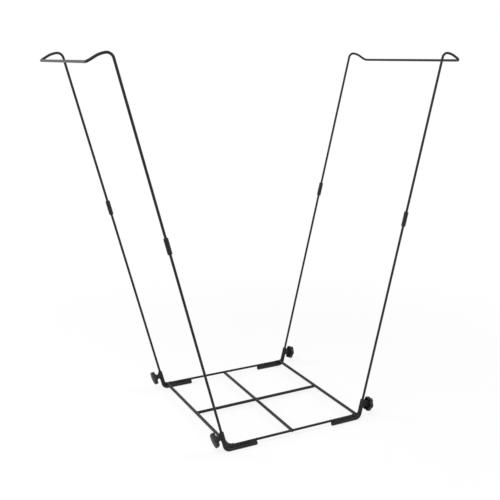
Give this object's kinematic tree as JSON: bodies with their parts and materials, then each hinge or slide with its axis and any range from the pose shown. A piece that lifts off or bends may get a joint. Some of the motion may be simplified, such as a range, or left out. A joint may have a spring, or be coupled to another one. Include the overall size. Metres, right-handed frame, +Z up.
{
  "type": "bin bag holder",
  "caption": "Free-standing wire stand: a welded base, and leaning wire frames clamped in its corner tubes by star knobs, with bars that hold a bin bag open.",
  "frame": {"origin": "on the floor, below the middle of the base", "axes": "+Z up, +X from the left frame to the right one, +Y from the front to the back"},
  "size_m": [0.8394, 0.413, 0.8251],
  "materials": {
    "powder_coat": "semi-gloss black powder coat on steel wire and tube",
    "knob_plastic": "moulded black plastic, satin",
    "stud_steel": "zinc-plated screw"
  },
  "bodies": {
    "base": {"end_wire_front": "powder_coat", "end_wire_back": "powder_coat", "side_rod_left": "powder_coat", "side_rod_right": "powder_coat", "cross_rod_long": "powder_coat", "cross_rod_left": "powder_coat", "cross_rod_right": "powder_coat", "front_left_tube": "powder_coat", "front_left_nut": "powder_coat", "front_right_tube": "powder_coat", "front_right_nut": "powder_coat", "back_left_tube": "powder_coat", "back_left_nut": "powder_coat", "back_right_tube": "powder_coat", "back_right_nut": "powder_coat"},
    "left_legs": {"front_left_leg": "powder_coat", "front_left_sleeve": "powder_coat", "back_left_leg": "powder_coat", "back_left_sleeve": "powder_coat"},
    "left_loop": {"left_loop": "powder_coat"},
    "right_legs": {"front_right_leg": "powder_coat", "front_right_sleeve": "powder_coat", "back_right_leg": "powder_coat", "back_right_sleeve": "powder_coat"},
    "right_loop": {"right_loop": "powder_coat"},
    "front_left_stud": {"front_left_stud": "stud_steel"},
    "front_left_knob": {"front_left_knob": "knob_plastic"},
    "front_right_stud": {"front_right_stud": "stud_steel"},
    "front_right_knob": {"front_right_knob": "knob_plastic"},
    "back_left_stud": {"back_left_stud": "stud_steel"},
    "back_left_knob": {"back_left_knob": "knob_plastic"},
    "back_right_stud": {"back_right_stud": "stud_steel"},
    "back_right_knob": {"back_right_knob": "knob_plastic"}
  },
  "joints": [
    {"name": "left_frame_lift", "type": "slide", "parent": "base", "child": "left_legs", "axis": [-0.2419, 0, 0.9703], "range_m": [0, 0.045]},
    {"name": "left_loop_lift", "type": "slide", "parent": "left_legs", "child": "left_loop", "axis": [-0.2419, 0, 0.9703], "range_m": [0, 0.03]},
    {"name": "right_frame_lift", "type": "slide", "parent": "base", "child": "right_legs", "axis": [0.2419, 0, 0.9703], "range_m": [0, 0.045]},
    {"name": "right_loop_lift", "type": "slide", "parent": "right_legs", "child": "right_loop", "axis": [0.2419, 0, 0.9703], "range_m": [0, 0.03]},
    {"name": "front_left_stud_travel", "type": "slide", "parent": "base", "child": "front_left_stud", "axis": [-0.9703, 0, -0.2419], "range_m": [0, 0.004]},
    {"name": "front_left_knob_turn", "type": "hinge", "parent": "front_left_stud", "child": "front_left_knob", "pos_m": [-0.17453, -0.19, 0.03721], "axis": [-0.9703, 0, -0.2419], "range_deg": [0, 1440]},
    {"name": "front_right_stud_travel", "type": "slide", "parent": "base", "child": "front_right_stud", "axis": [0.9703, 0, -0.2419], "range_m": [0, 0.004]},
    {"name": "front_right_knob_turn", "type": "hinge", "parent": "front_right_stud", "child": "front_right_knob", "pos_m": [0.17453, -0.19, 0.03721], "axis": [0.9703, 0, -0.2419], "range_deg": [0, 1440]},
    {"name": "back_left_stud_travel", "type": "slide", "parent": "base", "child": "back_left_stud", "axis": [-0.9703, 0, -0.2419], "range_m": [0, 0.004]},
    {"name": "back_left_knob_turn", "type": "hinge", "parent": "back_left_stud", "child": "back_left_knob", "pos_m": [-0.17453, 0.19, 0.03721], "axis": [-0.9703, 0, -0.2419], "range_deg": [0, 1440]},
    {"name": "back_right_stud_travel", "type": "slide", "parent": "base", "child": "back_right_stud", "axis": [0.9703, 0, -0.2419], "range_m": [0, 0.004]},
    {"name": "back_right_knob_turn", "type": "hinge", "parent": "back_right_stud", "child": "back_right_knob", "pos_m": [0.17453, 0.19, 0.03721], "axis": [0.9703, 0, -0.2419], "range_deg": [0, 1440]}
  ],
  "couplings": [
    {"joint": "front_left_stud_travel", "follows": "front_left_knob_turn", "m_per_rad": 0.000159},
    {"joint": "front_right_stud_travel", "follows": "front_right_knob_turn", "m_per_rad": 0.000159},
    {"joint": "back_left_stud_travel", "follows": "back_left_knob_turn", "m_per_rad": 0.000159},
    {"joint": "back_right_stud_travel", "follows": "back_right_knob_turn", "m_per_rad": 0.000159}
  ]
}
